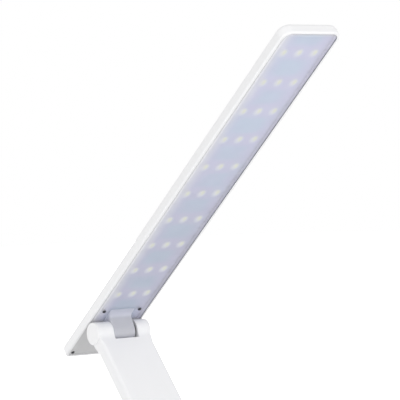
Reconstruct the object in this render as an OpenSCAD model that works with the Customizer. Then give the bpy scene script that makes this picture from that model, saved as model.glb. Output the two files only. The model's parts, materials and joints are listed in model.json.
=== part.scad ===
// Folding desk lamp with a slim light head, a flat arm and a weighted base
// Millimetres. +Z is up, the light head points to -Y, and X runs along both hinge axes.
// The origin is on the table, under the middle of the base.

/* [Pose] */
// Angle of the light head above horizontal
head_lift = 41.2; // [20:0.1:70]
// Angle of the arm above horizontal
arm_lean = 45.2; // [30:0.1:75]

/* [Light head] */
// Length of the head in front of the hinge axis
head_reach = 272.3; // [200:0.1:320]
// Length of the tail behind the hinge axis
tail_reach = 36.3; // [30:0.1:50]
// Width of the head
head_w = 41; // [40:0.5:60]
// Thickness of the head
head_t = 7; // [7:0.1:10]
// Radius of the two corners at the tip
tip_corner = 7; // [6:0.5:10]
// Radius of the two corners at the tail
tail_corner = 4; // [3.5:0.5:7]
// Radius of the soft edge round the back of the head
head_soft = 2.7; // [1:0.1:3]
// Width of the white rim round the light panel
rim_w = 2.9; // [2.4:0.1:4]

/* [Light panel] */
// Rows of light sources along the head
led_rows = 10; // [2:1:10]
// Light sources in each row
led_cols = 3; // [1:1:3]
// Distance between rows
led_pitch = 25; // [10:0.1:25]
// Distance between columns
led_gap = 10.7; // [6:0.1:11]
// Distance from the hinge axis to the first row
led_start = 29.7; // [20:0.1:40]
// Thickness of the clear panel
panel_t = 0.8; // [0.6:0.1:0.8]
// How far the panel and the tail cover lie below the rim
panel_set = 0.5; // [0.1:0.1:0.5]

/* [Arm] */
// Distance between the two hinge axes
arm_l = 268; // [220:1:300]
// Width of the arm
arm_w = 37.6; // [36:0.1:37.6]
// How far the arm's front face stands ahead of the hinge axes
arm_front = 4.5; // [4:0.1:5]
// How far the arm's back face lies behind the hinge axes
arm_back = 5; // [4.5:0.1:5]
// Radius of the arm's long edges
arm_soft = 2.5; // [1:0.1:2.5]

/* [Hinges] */
// Radius of the arm's hinge barrels
barrel_r = 7.1; // [6.5:0.1:7.1]
// Width over the hinge barrels and their end caps
barrel_w = 38.8; // [38.8:0.1:40]
// Left side of the slot that takes the knuckle, from the middle
slot_left = 8; // [7:0.1:9]
// Right side of the slot, with room for the friction washer
slot_right = 9.6; // [9:0.1:11]
// Depth of the slot below the hinge axis
slot_depth = 8.4; // [8.4:0.1:9]
// Radius of the knuckles
knuckle_r = 6.9; // [5:0.1:6.9]
// Radius of the hinge pins
pin_r = 2.5; // [2:0.1:3]
// Radius of the hollow between the arm's front face and its barrels
blend_r = 7.7; // [5:0.1:7.7]

/* [Base] */
// Width of the base
base_w = 112; // [100:1:140]
// Depth of the base
base_d = 186; // [180:1:200]
// Height of the base's top face above the table
base_h = 22; // [22:0.5:26]
// Corner radius of the base, seen from above
base_corner = 16; // [12:1:24]
// Radius of the soft edge round the top of the base
base_soft = 4; // [2:0.5:5]
// Distance of the lower hinge axis from the base's front edge
pivot_set = 30; // [30:0.5:34]
// Height of the lower hinge axis above the base's top face
pivot_up = 8; // [8:0.1:12]

/* [Power button] */
// Radius of the power button
button_r = 6.4; // [4:0.1:6.4]
// How far the button stands above the base
button_up = 1.2; // [0.8:0.1:2]
// How far the button can be pressed
button_travel = 1.2; // [0.6:0.1:1.2]

/* [Hidden] */
$fn = 64;
e = 0.01;
run_gap = 0.05;
wall = 2.2;

// Head levels, measured from the hinge axis towards the lit side
face_z = -7.5;
back_z = face_z - head_t;
panel_z = face_z - panel_set - panel_t;
led_h = 0.7;
led_z = panel_z - 0.1 - led_h;
board_t = 1;
board_z = led_z - board_t;
sheet_t = 0.9;
sheet_z = board_z - sheet_t;
head_skin = 1.4;
floor_z = back_z + head_skin;
post_root = 0.4;
head_l = head_reach + tail_reach;
least_corner = 0.4;
ledge_w = 1.2;
fit = 0.05;
seat_w = head_w - 2 * rim_w;
panel_split = 1.4;
split_w = 1.4;
board_tail = panel_split + split_w / 2 + 0.2;
lead_gap = 3;
led_w = 2.8;
led_l = 3.5;
lens_r = 1.1;
panel_screw = [13.1, 12.1];
panel_screw_head = 1.2;
tail_screw = [16, -31.7];
tail_screw_head = 1.1;
screw_head_h = 0.6;

// Knuckle proportions
knuckle_left = slot_left - 0.1;
knuckle_right = 8.3;
knuckle_foot = 8.4;
root_up = 2.5;
root_r = 6;
root_out = sqrt(root_r * root_r - pow(root_r - root_up, 2));
small_step = 0.08;
pad_side = 14;
pad_l = 24;

// Arm levels
arm_t = arm_front + arm_back;
cover_split = -2;
cover_floor = -arm_back + 1.5;
arm_skin = 1.8;
arm_wall = 2;
arm_cell_w = arm_w - 2 * arm_wall;
arm_cell_top = arm_front - arm_skin;
rib_from = 9.2;
rib_t = 1.2;
cell_end = 12.4;
cover_end = 11;
screw_y = [34, arm_l - 34];
screw_x = 12.6;
boss_r = 2.8;
arm_screw_sink = 0.7;
ear_w = arm_w / 2;
cap_plug_r = 4;
cap_plug = 1.8;

// Base levels
pivot_y = -base_d / 2 + pivot_set;
pivot_z = base_h + pivot_up;
pad_t = 1.5;
tray_t = 2;
tray_z = pad_t;
ballast_t = 5;
ballast_z = tray_z + tray_t;
ballast_top = ballast_z + ballast_t;
ballast_front = -80;
ballast_rear = 84;
ballast_w = 92;
foot_t = 3;
foot_w = 36;
foot_d = 26;
foot_hole = [foot_w / 2 - 4, foot_d / 2 - 4];
card_t = 1.6;
card_z = ballast_top + 0.5;
card_rear = pivot_y - foot_d / 2 - 1.8;
card_front = -base_d / 2 + wall + 0.5;
card_w = 54;
card_hole = [22, card_front + 4.4];
button_y = pivot_y - 18.5;
button_edge = 0.4;
flange_t = 1.2;
switch_w = 6;
switch_h = 2;
plunger_h = 0.4;
stem_bottom = card_z + card_t + switch_h + plunger_h + button_travel + run_gap;
base_screw = [44, 80];
screw_pocket = 1.2;
inlet_w = 9;
inlet_t = 3.2;
inlet_l = 7.4;
inlet_wall = 0.35;
inlet_front = 76;
inlet_depth = 14.4;
inlet_hole = [12, 81];
lead_r = 0.7;
lead_x = 24;
lead_lift = lead_r + 0.02;

// Frames of the arm and the head: Y runs along the piece, Z out of its front or lit side
module on_arm() {
    translate([0, pivot_y, pivot_z]) rotate([arm_lean, 0, 0]) children();
}
module on_head() {
    on_arm() translate([0, arm_l, 0]) rotate([180 - head_lift - arm_lean, 0, 0]) children();
}

// Flat outline with round corners
module soft_rect(w, d, r) {
    square([w - 2 * r, d], center = true);
    square([w, d - 2 * r], center = true);
    for (x = [-1, 1], y = [-1, 1]) translate([x * (w / 2 - r), y * (d / 2 - r)]) circle(r);
}
module soft_plate(w, d, t, r) {
    linear_extrude(t) soft_rect(w, d, r);
}

// Section of a slab, flat on top, with soft lower edges
module slab_section(w, h, r) {
    translate([-w / 2, r]) square([w, h - r]);
    translate([-w / 2 + r, 0]) square([w - 2 * r, h]);
    for (x = [-1, 1]) translate([x * (w / 2 - r), r]) circle(r);
}
// Side view of one end of the slab
module slab_side(l, h, r) {
    translate([0, r]) square([l, h - r]);
    square([l - r, h]);
    translate([l - r, r]) circle(r);
}
module slab_corner(h, corner, r) {
    rotate_extrude(angle = 90) intersection() {
        slab_side(corner, h, r);
        square([corner, h]);
    }
}
// Half of a slab: it starts at Y = 0 and ends in two round corners
module slab_end(w, l, h, corner, r) {
    translate([0, l - corner, 0]) rotate([90, 0, 0])
        linear_extrude(l - corner) slab_section(w, h, r);
    translate([-w / 2 + corner, 0, 0]) rotate([90, 0, 90])
        linear_extrude(w - 2 * corner) slab_side(l, h, r);
    for (side = [0, 1]) translate([(1 - 2 * side) * (w / 2 - corner), l - corner, 0])
        rotate([0, 0, side * 90]) slab_corner(h, corner, r);
}
// Slab with round corners in plan and a soft edge round its lower face
module soft_slab(w, front, rear, h, front_corner, rear_corner, r) {
    slab_end(w, rear, h, rear_corner, r);
    rotate([0, 0, 180]) slab_end(w, front, h, front_corner, r);
}
// Flat outline of the head, drawn in by a margin
module head_outline(margin) {
    side = head_w / 2 - margin;
    tip = head_reach - margin;
    tail = tail_reach - margin;
    tip_r = max(tip_corner - margin, least_corner);
    tail_r = max(tail_corner - margin, least_corner);
    translate([-side, tail_r - tail]) square([2 * side, tip + tail - tip_r - tail_r]);
    translate([tip_r - side, 0]) square([2 * (side - tip_r), tip]);
    translate([tail_r - side, -tail]) square([2 * (side - tail_r), tail]);
    for (x = [-1, 1]) {
        translate([x * (side - tip_r), tip - tip_r]) circle(tip_r);
        translate([x * (side - tail_r), tail_r - tail]) circle(tail_r);
    }
}
module head_layer(margin, z, t) {
    translate([0, 0, z]) linear_extrude(t) head_outline(margin);
}

// Rod along X between two places
module rod(x0, x1, r) {
    translate([x0, 0, 0]) rotate([0, 90, 0]) cylinder(h = x1 - x0, r = r);
}
// Side view drawn in Y and Z, given a width along X
module across(x0, x1) {
    translate([x0, 0, 0]) rotate([90, 0, 90]) linear_extrude(x1 - x0) children();
}
// Screw with a round head, a cross recess and a plain shank, pointing down
module screw(head_r, head_h, shank_r, shank_l) {
    difference() {
        union() {
            cylinder(h = head_h, r = head_r);
            translate([0, 0, -shank_l]) cylinder(h = shank_l, r = shank_r);
        }
        for (turn = [0, 90]) rotate([0, 0, turn])
            translate([-head_r * 0.6, -head_r * 0.14, head_h * 0.5])
                cube([head_r * 1.2, head_r * 0.28, head_h]);
    }
}
// Two round cores side by side, running along Y
module twin_lead(y0, y1) {
    translate([0, y1, 0]) rotate([90, 0, 0]) linear_extrude(y1 - y0)
        for (x = [-1, 1]) translate([x * lead_r * 0.96, 0]) circle(lead_r);
}

// Knuckle outline: a round eye whose sides run straight to a foot below it
module knuckle_outline(foot, drop) {
    side_r = knuckle_r * 0.97;
    reach = sqrt(foot * foot + drop * drop);
    touch = acos(side_r / reach) - atan2(drop, foot);
    tip = [side_r * cos(touch), side_r * sin(touch)];
    circle(knuckle_r);
    polygon([[-foot, -drop], [foot, -drop], tip, [-tip[0], tip[1]]]);
}
// Hollow flare between the knuckle's foot and the face it stands on
module knuckle_root(foot, drop) {
    for (side = [-1, 1]) difference() {
        translate([side > 0 ? foot - 0.8 : -foot - root_out, -drop]) square([root_out + 0.8, root_up]);
        translate([side * (foot + root_out), root_r - drop]) circle(root_r - small_step);
    }
}

module head_housing() {
    color("white") on_head() difference() {
        union() {
            difference() {
                translate([0, 0, back_z])
                    soft_slab(head_w, tail_reach, head_reach, head_t, tail_corner, tip_corner, head_soft);
                // seat for the panel and the tail cover
                head_layer(rim_w, panel_z, head_t);
                // well for the boards
                head_layer(rim_w + ledge_w, floor_z, head_t);
            }
            // bar between the panel and the tail cover, with a gap for the lead
            for (x = [lead_gap, 0.6 - seat_w / 2])
                translate([x, panel_split - split_w / 2, floor_z - post_root])
                    cube([seat_w / 2 - lead_gap - 0.6, split_w, panel_z - floor_z + post_root]);
            // posts for the tail cover's screws
            for (x = [-1, 1]) translate([x * tail_screw[0], tail_screw[1], floor_z - post_root])
                cylinder(h = panel_z - floor_z + post_root, r = 1.9);
            // low posts for the panel screws
            for (x = [-1, 1]) translate([x * panel_screw[0], panel_screw[1], floor_z - post_root])
                cylinder(h = sheet_z - floor_z + post_root, r = 2.4);
            // cross ribs that carry the heat sheet
            for (row = [1:2:led_rows - 1])
                translate([0.6 - seat_w / 2, led_start + (row - 0.5) * led_pitch, floor_z - post_root])
                    cube([seat_w - 1.2, rib_t, sheet_z - floor_z + post_root]);
        }
        for (x = [-1, 1]) {
            translate([x * tail_screw[0], tail_screw[1], floor_z])
                cylinder(h = head_t, r = 0.7);
            translate([x * panel_screw[0], panel_screw[1], floor_z])
                cylinder(h = head_t, r = 0.8);
        }
    }
}
module board_blank(z, t) {
    difference() {
        head_layer(rim_w + ledge_w + 0.2, z, t);
        translate([-head_w, board_tail - head_l, z - 1]) cube([2 * head_w, head_l, t + 2]);
        for (x = [-1, 1]) translate([x * panel_screw[0], panel_screw[1], z - 1])
            cylinder(h = t + 2, r = 1);
    }
}
module heat_sheet() {
    color("silver") on_head() board_blank(sheet_z, sheet_t);
}
module led_board() {
    color([0.86, 0.88, 0.93]) on_head() board_blank(board_z, board_t);
}
module leds() {
    color([0.96, 0.95, 0.72]) on_head()
        for (row = [0:led_rows - 1], col = [0:led_cols - 1])
            translate([(col - (led_cols - 1) / 2) * led_gap, led_start + row * led_pitch, led_z]) {
                translate([-led_w / 2, -led_l / 2, 0]) cube([led_w, led_l, led_h - 0.1]);
                cylinder(h = led_h, r = lens_r, $fn = 32);
            }
}
module light_panel() {
    color([0.8, 0.85, 0.95, 0.5]) on_head() difference() {
        head_layer(rim_w + fit, panel_z, panel_t);
        translate([-head_w, panel_split + fit - head_l, panel_z - 1]) cube([2 * head_w, head_l, 4]);
        // notch round the knuckle's root
        translate([-knuckle_left - fit, 0, panel_z - 1])
            cube([knuckle_left + knuckle_right + 2 * fit, knuckle_foot + root_out + fit, 4]);
        for (x = [-1, 1]) translate([x * panel_screw[0], panel_screw[1], panel_z - 1])
            cylinder(h = 4, r = 0.9);
    }
}
module panel_screws() {
    color([0.2, 0.2, 0.22]) on_head() for (x = [-1, 1])
        translate([x * panel_screw[0], panel_screw[1], panel_z + panel_t])
            screw(panel_screw_head, screw_head_h, 0.8, panel_t + panel_z - floor_z - 0.3);
}
module tail_cover() {
    color([0.76, 0.77, 0.79]) on_head() difference() {
        union() {
            // plate that closes the tail
            difference() {
                head_layer(rim_w + fit, panel_z, panel_t);
                translate([-head_w, panel_split - fit, panel_z - 1]) cube([2 * head_w, head_l, 4]);
            }
            // thick pad under the plate
            translate([-pad_side, -pad_l, floor_z])
                cube([2 * pad_side, pad_l + 0.5, panel_z - floor_z + e]);
            // knuckle and its hollow root
            across(-knuckle_left, knuckle_right) {
                knuckle_outline(knuckle_foot, -panel_z);
                knuckle_root(knuckle_foot, -panel_z - panel_t);
                translate([-knuckle_foot - root_out, panel_z])
                    square([2 * (knuckle_foot + root_out), panel_t]);
            }
        }
        rod(-20, 20, pin_r + run_gap);
        for (x = [-1, 1]) translate([x * tail_screw[0], tail_screw[1], panel_z - 1])
            cylinder(h = 4, r = 0.8);
        // gutter for the lead
        translate([-2.2, -20, floor_z - e]) cube([4.4, 21, 2.2]);
    }
}
module tail_screws() {
    color([0.2, 0.2, 0.22]) on_head() for (x = [-1, 1])
        translate([x * tail_screw[0], tail_screw[1], panel_z + panel_t])
            screw(tail_screw_head, screw_head_h, 0.7, panel_t + panel_z - floor_z - 0.3);
}
module head_lead() {
    color([0.85, 0.85, 0.85]) on_head() translate([0, 0, floor_z + lead_lift]) twin_lead(-17, 28);
}

// Cross-section of the arm, seen along it
module arm_section() {
    translate([0, (arm_front - arm_back) / 2]) soft_rect(arm_w, arm_t, arm_soft);
}
module along_arm(y0, y1) {
    translate([0, y1, 0]) rotate([90, 0, 0]) linear_extrude(y1 - y0) children();
}
// Hollow between the arm's front face and a barrel, drawn at the lower end
module barrel_blend() {
    rise = arm_front + blend_r;
    run = sqrt(pow(barrel_r + blend_r, 2) - rise * rise);
    share = barrel_r / (barrel_r + blend_r);
    difference() {
        translate([run * share, 0]) square([run * (1 - share), rise * share]);
        translate([run, rise]) circle(blend_r - small_step);
    }
}
module arm_frame() {
    color([0.95, 0.95, 0.96]) on_arm() difference() {
        union() {
            difference() {
                along_arm(0, arm_l) arm_section();
                // the cover closes this part of the back
                translate([-arm_w, cover_end, cover_split - arm_t])
                    cube([2 * arm_w, arm_l - 2 * cover_end, arm_t]);
                // hollow for the stiffener and the lead
                translate([-arm_cell_w / 2, cell_end, cover_split - 1])
                    cube([arm_cell_w, arm_l - 2 * cell_end, arm_cell_top - cover_split + 1]);
            }
            for (end = [0, 1]) translate([0, end * arm_l, 0]) rotate([0, 0, end * 180]) {
                rod(-ear_w, ear_w, barrel_r);
                across(-ear_w, ear_w) barrel_blend();
            }
            for (y = screw_y, x = [-1, 1]) translate([x * screw_x, y, cover_floor])
                cylinder(h = arm_cell_top - cover_floor + e, r = boss_r);
            // short ribs that leave the middle free
            for (y = [0.25, 0.375, 0.5, 0.625, 0.75], x = [-1, 1])
                translate([x > 0 ? rib_from : -arm_cell_w / 2 - e, y * arm_l, cover_split + 0.8])
                    cube([arm_cell_w / 2 - rib_from + e, rib_t, arm_cell_top - cover_split - 0.8 + e]);
        }
        // slots for the knuckles
        translate([-slot_left, arm_l - slot_depth, -20])
            cube([slot_left + slot_right, 40, 40]);
        translate([-slot_left, slot_depth - 40, -20])
            cube([slot_left + slot_right, 40, 40]);
        for (y = [0, arm_l]) translate([0, y, 0]) {
            rod(-30, 30, pin_r);
            for (x = [-1, 1]) translate([x * (ear_w - cap_plug + 5), 0, 0])
                rod(-5, 5, cap_plug_r);
        }
        // way for the lead through both slot floors
        translate([-2, 0, -1.1]) cube([4, arm_l, 2.2]);
        for (y = screw_y, x = [-1, 1]) translate([x * screw_x, y, cover_floor - e])
            cylinder(h = 5, r = 0.9);
    }
}
module arm_cover() {
    color([0.95, 0.95, 0.96]) on_arm() difference() {
        intersection() {
            along_arm(cover_end + 0.1, arm_l - cover_end - 0.1) arm_section();
            translate([-arm_w, 0, -arm_back - 1])
                cube([2 * arm_w, arm_l, arm_back + 1 + cover_split]);
        }
        translate([-arm_cell_w / 2, cell_end, cover_floor])
            cube([arm_cell_w, arm_l - 2 * cell_end, arm_back]);
        for (y = screw_y, x = [-1, 1]) translate([x * screw_x, y, -arm_back]) {
            translate([0, 0, -1]) cylinder(h = 5, r = 1.2);
            translate([0, 0, -1]) cylinder(h = 1 + arm_screw_sink, r = 2.3);
        }
    }
}
module arm_stiffener() {
    color("silver") on_arm() difference() {
        translate([0, arm_l / 2, arm_cell_top - 1.2])
            soft_plate(17, arm_l - 2 * cell_end - 2, 1.2, 3);
        for (y = [1:2:9]) translate([0, y * arm_l / 10, 0]) cylinder(h = 5, r = 4.5);
    }
}
module arm_lead() {
    color([0.2, 0.2, 0.2]) on_arm() twin_lead(slot_depth + 0.1, arm_l - slot_depth - 0.1);
}
module arm_screws() {
    color("silver") on_arm() for (y = screw_y, x = [-1, 1])
        translate([x * screw_x, y, arm_screw_sink - arm_back]) rotate([180, 0, 0])
            screw(2.2, 0.6, 0.9, 5);
}
module hinge_pin() {
    difference() {
        rod(-ear_w + cap_plug, ear_w - cap_plug, pin_r);
        for (x = [-1, 1]) translate([x * (ear_w - cap_plug), 0, 0]) rod(-1, 1, 0.9);
    }
}
module hinge_caps() {
    for (side = [0, 180]) rotate([0, 0, side]) {
        rod(ear_w, barrel_w / 2 - 0.3, barrel_r);
        rod(ear_w, barrel_w / 2, barrel_r - 0.3);
        rod(ear_w - cap_plug + 0.3, ear_w + e, cap_plug_r - fit);
    }
}
module friction_washer() {
    difference() {
        rod(knuckle_right + 0.04, slot_right - 0.02, 5);
        rod(0, 20, pin_r);
    }
}
module upper_pin() {
    color([0.7, 0.7, 0.72]) on_arm() translate([0, arm_l, 0]) hinge_pin();
}
module upper_caps() {
    color([0.95, 0.95, 0.96]) on_arm() translate([0, arm_l, 0]) hinge_caps();
}
module upper_washer() {
    color([0.25, 0.25, 0.26]) on_arm() translate([0, arm_l, 0]) friction_washer();
}
module lower_pin() {
    color([0.7, 0.7, 0.72]) on_arm() hinge_pin();
}
module lower_caps() {
    color([0.95, 0.95, 0.96]) on_arm() hinge_caps();
}
module lower_washer() {
    color([0.25, 0.25, 0.26]) on_arm() friction_washer();
}

module base_shell() {
    shell_top = base_h - pad_t;
    boss_z = tray_z + tray_t;
    color([0.95, 0.95, 0.96]) difference() {
        union() {
            difference() {
                translate([0, 0, base_h]) rotate([180, 0, 0])
                    soft_slab(base_w, base_d / 2, base_d / 2, shell_top, base_corner, base_corner,
                              base_soft);
                translate([0, 0, tray_z - 1])
                    soft_plate(base_w - 2 * wall, base_d - 2 * wall, shell_top - wall + 1,
                               base_corner - wall);
            }
            for (x = [-1, 1], y = [-1, 1]) translate([x * base_screw[0], y * base_screw[1], boss_z])
                cylinder(h = base_h - wall - boss_z + e, r = 3.6);
            for (x = [-1, 1]) translate([x * card_hole[0], card_hole[1], card_z + card_t])
                cylinder(h = base_h - wall - card_z - card_t + e, r = 2.4);
            for (x = [-1, 1]) translate([x * inlet_hole[0], inlet_hole[1], card_z + card_t])
                cylinder(h = base_h - wall - card_z - card_t + e, r = 2.2);
        }
        // opening for the hinge post
        translate([-knuckle_left - 0.1, pivot_y - knuckle_foot - 0.1, base_h - wall - 1])
            cube([knuckle_left + knuckle_right + 0.2, 2 * knuckle_foot + 0.2, 5]);
        // hole for the power button
        translate([0, button_y, base_h - wall - 1]) cylinder(h = 5, r = button_r + 0.1);
        // slot for the power inlet
        translate([0, base_d / 2 - wall - 1, card_z + card_t + inlet_t / 2]) rotate([-90, 0, 0])
            soft_plate(inlet_w + 0.2, inlet_t + 0.2, 5, inlet_t / 2);
        for (x = [-1, 1], y = [-1, 1]) translate([x * base_screw[0], y * base_screw[1], 0])
            cylinder(h = 12, r = 1.3);
        for (x = [-1, 1]) translate([x * card_hole[0], card_hole[1], 0])
            cylinder(h = 15, r = 0.9);
        for (x = [-1, 1]) translate([x * inlet_hole[0], inlet_hole[1], 0])
            cylinder(h = 15, r = 0.9);
    }
}
module base_tray() {
    color([0.9, 0.9, 0.91]) difference() {
        union() {
            translate([0, 0, tray_z])
                soft_plate(base_w - 2 * wall - 0.2, base_d - 2 * wall - 0.2, tray_t,
                           base_corner - wall);
            // rails that hold the ballast plate
            for (x = [-1, 1]) translate([x > 0 ? ballast_w / 2 : -ballast_w / 2 - 2, -60, tray_z])
                cube([2, 120, tray_t + ballast_t]);
        }
        for (x = [-1, 1], y = [-1, 1]) translate([x * base_screw[0], y * base_screw[1], 0]) {
            cylinder(h = 10, r = 1.7);
            cylinder(h = tray_z + screw_pocket, r = 3.1);
        }
    }
}
module ballast() {
    color([0.5, 0.5, 0.52]) translate([0, 0, ballast_z]) difference() {
        translate([-ballast_w / 2, ballast_front, 0])
            cube([ballast_w, ballast_rear - ballast_front, ballast_t]);
        // room for the shell's corner posts
        for (x = [-1, 1], y = [-1, 1]) translate([x * base_screw[0], y * base_screw[1], -1])
            cylinder(h = ballast_t + 2, r = 5);
        for (x = [-1, 1], y = [-1, 1])
            translate([x * foot_hole[0], pivot_y + y * foot_hole[1], -1])
                cylinder(h = ballast_t + 2, r = 1.6);
    }
}
module grip_pad() {
    color([0.25, 0.25, 0.26]) difference() {
        soft_plate(base_w - 14, base_d - 14, pad_t, base_corner - 7);
        for (x = [-1, 1], y = [-1, 1]) translate([x * base_screw[0], y * base_screw[1], -1])
            cylinder(h = 5, r = 3.1);
    }
}
module hinge_post() {
    drop = pivot_z - ballast_top;
    shelf = pivot_up + wall;
    color([0.76, 0.77, 0.79]) difference() {
        translate([0, pivot_y, pivot_z]) {
            across(-knuckle_left, knuckle_right) {
                knuckle_outline(knuckle_foot, pivot_up);
                translate([-knuckle_foot, -drop]) square([2 * knuckle_foot, drop - pivot_up]);
            }
            translate([-foot_w / 2, -foot_d / 2, -drop]) cube([foot_w, foot_d, foot_t]);
            // ribs from the foot to the column
            for (x = [-knuckle_left - 4, knuckle_right]) translate([x, -1.5, -drop])
                cube([4, 3, drop - shelf]);
        }
        translate([0, pivot_y, pivot_z]) rod(-20, 20, pin_r + run_gap);
        for (x = [-1, 1], y = [-1, 1])
            translate([x * foot_hole[0], pivot_y + y * foot_hole[1], ballast_z])
                cylinder(h = 20, r = 1.7);
    }
}
module post_screws() {
    color("silver") for (x = [-1, 1], y = [-1, 1])
        translate([x * foot_hole[0], pivot_y + y * foot_hole[1], ballast_top + foot_t])
            screw(3, 1.8, 1.6, foot_t + ballast_t - 0.5);
}
module control_card() {
    color([0.1, 0.4, 0.2]) difference() {
        translate([-card_w / 2, card_front, card_z]) cube([card_w, card_rear - card_front, card_t]);
        for (x = [-1, 1]) translate([x * card_hole[0], card_hole[1], card_z - 1])
            cylinder(h = 5, r = 1.1);
    }
}
module push_switch() {
    color([0.15, 0.15, 0.16]) translate([0, button_y, card_z + card_t]) {
        translate([-switch_w / 2, -switch_w / 2, 0]) cube([switch_w, switch_w, switch_h]);
        cylinder(h = switch_h + plunger_h, r = 1.7);
    }
}
module card_screws() {
    color("silver") {
        for (x = [-1, 1]) translate([x * card_hole[0], card_hole[1], card_z]) rotate([180, 0, 0])
            screw(1.8, 1.2, 0.9, 5.5);
        for (x = [-1, 1]) translate([x * inlet_hole[0], inlet_hole[1], card_z]) rotate([180, 0, 0])
            screw(1.8, 0.45, 0.9, 5.5);
    }
}
module power_button() {
    flange_top = base_h - wall - 0.02;
    edge_z = base_h + button_up - button_edge;
    color([0.86, 0.87, 0.89]) translate([0, button_y, 0]) {
        translate([0, 0, flange_top - flange_t]) cylinder(h = flange_t, r = button_r + 1.2);
        translate([0, 0, flange_top - e]) cylinder(h = edge_z - flange_top + e, r = button_r);
        // soft upper edge
        translate([0, 0, edge_z])
            cylinder(h = button_edge, r1 = button_r, r2 = button_r - button_edge);
        translate([0, 0, stem_bottom])
            cylinder(h = flange_top - flange_t - stem_bottom + e, r = 2);
    }
}
module power_inlet() {
    inlet_z = card_z + card_t + inlet_t / 2;
    color([0.75, 0.75, 0.77]) translate([0, base_d / 2, inlet_z]) {
        difference() {
            translate([0, -inlet_l, 0]) rotate([-90, 0, 0])
                soft_plate(inlet_w, inlet_t, inlet_l - 0.2, inlet_t / 2 - 0.1);
            translate([0, -inlet_l + 1, 0]) rotate([-90, 0, 0])
                soft_plate(inlet_w - 2 * inlet_wall, inlet_t - 2 * inlet_wall, inlet_l,
                           inlet_t / 2 - inlet_wall - 0.1);
        }
        // contact tongue inside the mouth
        translate([-3.3, -inlet_l + 0.5, -0.35]) cube([6.6, 5.6, 0.7]);
    }
}
module inlet_card() {
    color([0.1, 0.4, 0.2]) difference() {
        translate([-15, inlet_front, card_z]) cube([lead_x + 18, inlet_depth, card_t]);
        for (x = [-1, 1]) translate([x * inlet_hole[0], inlet_hole[1], card_z - 1])
            cylinder(h = 5, r = 1.1);
    }
}
module base_lead() {
    color([0.2, 0.2, 0.2]) translate([lead_x, 0, ballast_top + lead_lift])
        twin_lead(card_rear, inlet_front);
}
module base_screws() {
    color("silver") for (x = [-1, 1], y = [-1, 1])
        translate([x * base_screw[0], y * base_screw[1], tray_z + screw_pocket]) rotate([180, 0, 0])
            screw(3, 1.2, 1.3, 9);
}

head_housing();
heat_sheet();
led_board();
leds();
light_panel();
panel_screws();
tail_cover();
tail_screws();
head_lead();
arm_frame();
arm_cover();
arm_stiffener();
arm_lead();
arm_screws();
upper_pin();
upper_caps();
upper_washer();
lower_pin();
lower_caps();
lower_washer();
base_shell();
base_tray();
ballast();
grip_pad();
hinge_post();
post_screws();
control_card();
push_switch();
card_screws();
power_button();
power_inlet();
inlet_card();
base_lead();
base_screws();
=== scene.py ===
"""Visible model of a folding desk lamp, built round its packed parts and laid out as an add-on."""

import json
import math

import bmesh
import bpy
from bpy.props import FloatProperty, FloatVectorProperty, IntProperty, PointerProperty
from mathutils import Matrix, Vector


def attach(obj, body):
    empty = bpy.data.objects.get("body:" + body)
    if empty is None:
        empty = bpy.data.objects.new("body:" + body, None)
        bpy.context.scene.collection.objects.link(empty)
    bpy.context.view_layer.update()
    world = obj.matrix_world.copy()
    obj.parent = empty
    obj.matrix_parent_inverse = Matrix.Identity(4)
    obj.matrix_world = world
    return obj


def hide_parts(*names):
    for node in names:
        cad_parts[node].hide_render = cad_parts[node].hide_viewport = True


bl_info = {
    "name": "Folding desk lamp",
    "version": (1, 0, 0),
    "blender": (4, 5, 0),
    "location": "View3D > Sidebar > Desk lamp",
    "description": "Builds the visible pieces of a folding desk lamp round its packed parts",
    "category": "Add Mesh",
}

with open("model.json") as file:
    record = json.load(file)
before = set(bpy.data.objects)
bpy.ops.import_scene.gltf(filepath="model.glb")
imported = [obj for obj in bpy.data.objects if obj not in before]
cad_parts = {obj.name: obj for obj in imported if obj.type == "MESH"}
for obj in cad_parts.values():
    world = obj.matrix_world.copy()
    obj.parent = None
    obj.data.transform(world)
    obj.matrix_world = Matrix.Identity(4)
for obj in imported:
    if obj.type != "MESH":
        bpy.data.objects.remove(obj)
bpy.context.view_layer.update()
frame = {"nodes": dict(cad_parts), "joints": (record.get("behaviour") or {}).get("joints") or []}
MM = 0.001
LEAST_CORNER = 0.01 * MM
LEAST_RADIUS = 0.002 * MM
PLASTIC_IOR = 1.49
JOINTS = {joint["name"]: joint for joint in frame["joints"]}
LOWER_HINGE = Vector(JOINTS["arm_tilt"]["pos_m"])
UPPER_HINGE = Vector(JOINTS["head_tilt"]["pos_m"])
HINGE_SPAN = UPPER_HINGE - LOWER_HINGE
ARM_LEAN = math.atan2(HINGE_SPAN.z, HINGE_SPAN.y)
ARM_LENGTH = HINGE_SPAN.length
ON_ARM = Matrix.Translation(LOWER_HINGE) @ Matrix.Rotation(ARM_LEAN, 4, "X")
AT_UPPER = ON_ARM @ Matrix.Translation((0, ARM_LENGTH, 0))
ON_BASE = Matrix.Identity(4)
AT_LOWER = Matrix.Translation(LOWER_HINGE)


def on_head():
    """Placement of the light head: Y runs to its tip and Z out of its lit side."""
    lift = bpy.context.scene.lamp_head.lift
    return Matrix.Translation(UPPER_HINGE) @ Matrix.Rotation(math.pi - lift, 4, "X")


def cad_box(node, place):
    """Lowest and highest corner of a packed part, in the axes of that placement."""
    back = place.inverted()
    points = [back @ vertex.co for vertex in frame["nodes"][node].data.vertices]
    return [Vector(pick(p[i] for p in points) for i in range(3)) for pick in (min, max)]


def length(name, description, millimetres):
    """A size that the user can change."""
    return FloatProperty(
        name=name, description=description, default=millimetres * MM, min=0, precision=4,
        subtype="DISTANCE", unit="LENGTH",
    )


def angle(name, description, degrees):
    """An angle that the user can change."""
    return FloatProperty(
        name=name, description=description, default=math.radians(degrees),
        subtype="ANGLE", unit="ROTATION",
    )


def colour(name, description, default):
    """A colour that the user can change."""
    return FloatVectorProperty(
        name=name, description=description, default=default, min=0, max=1, size=3, subtype="COLOR",
    )


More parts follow.
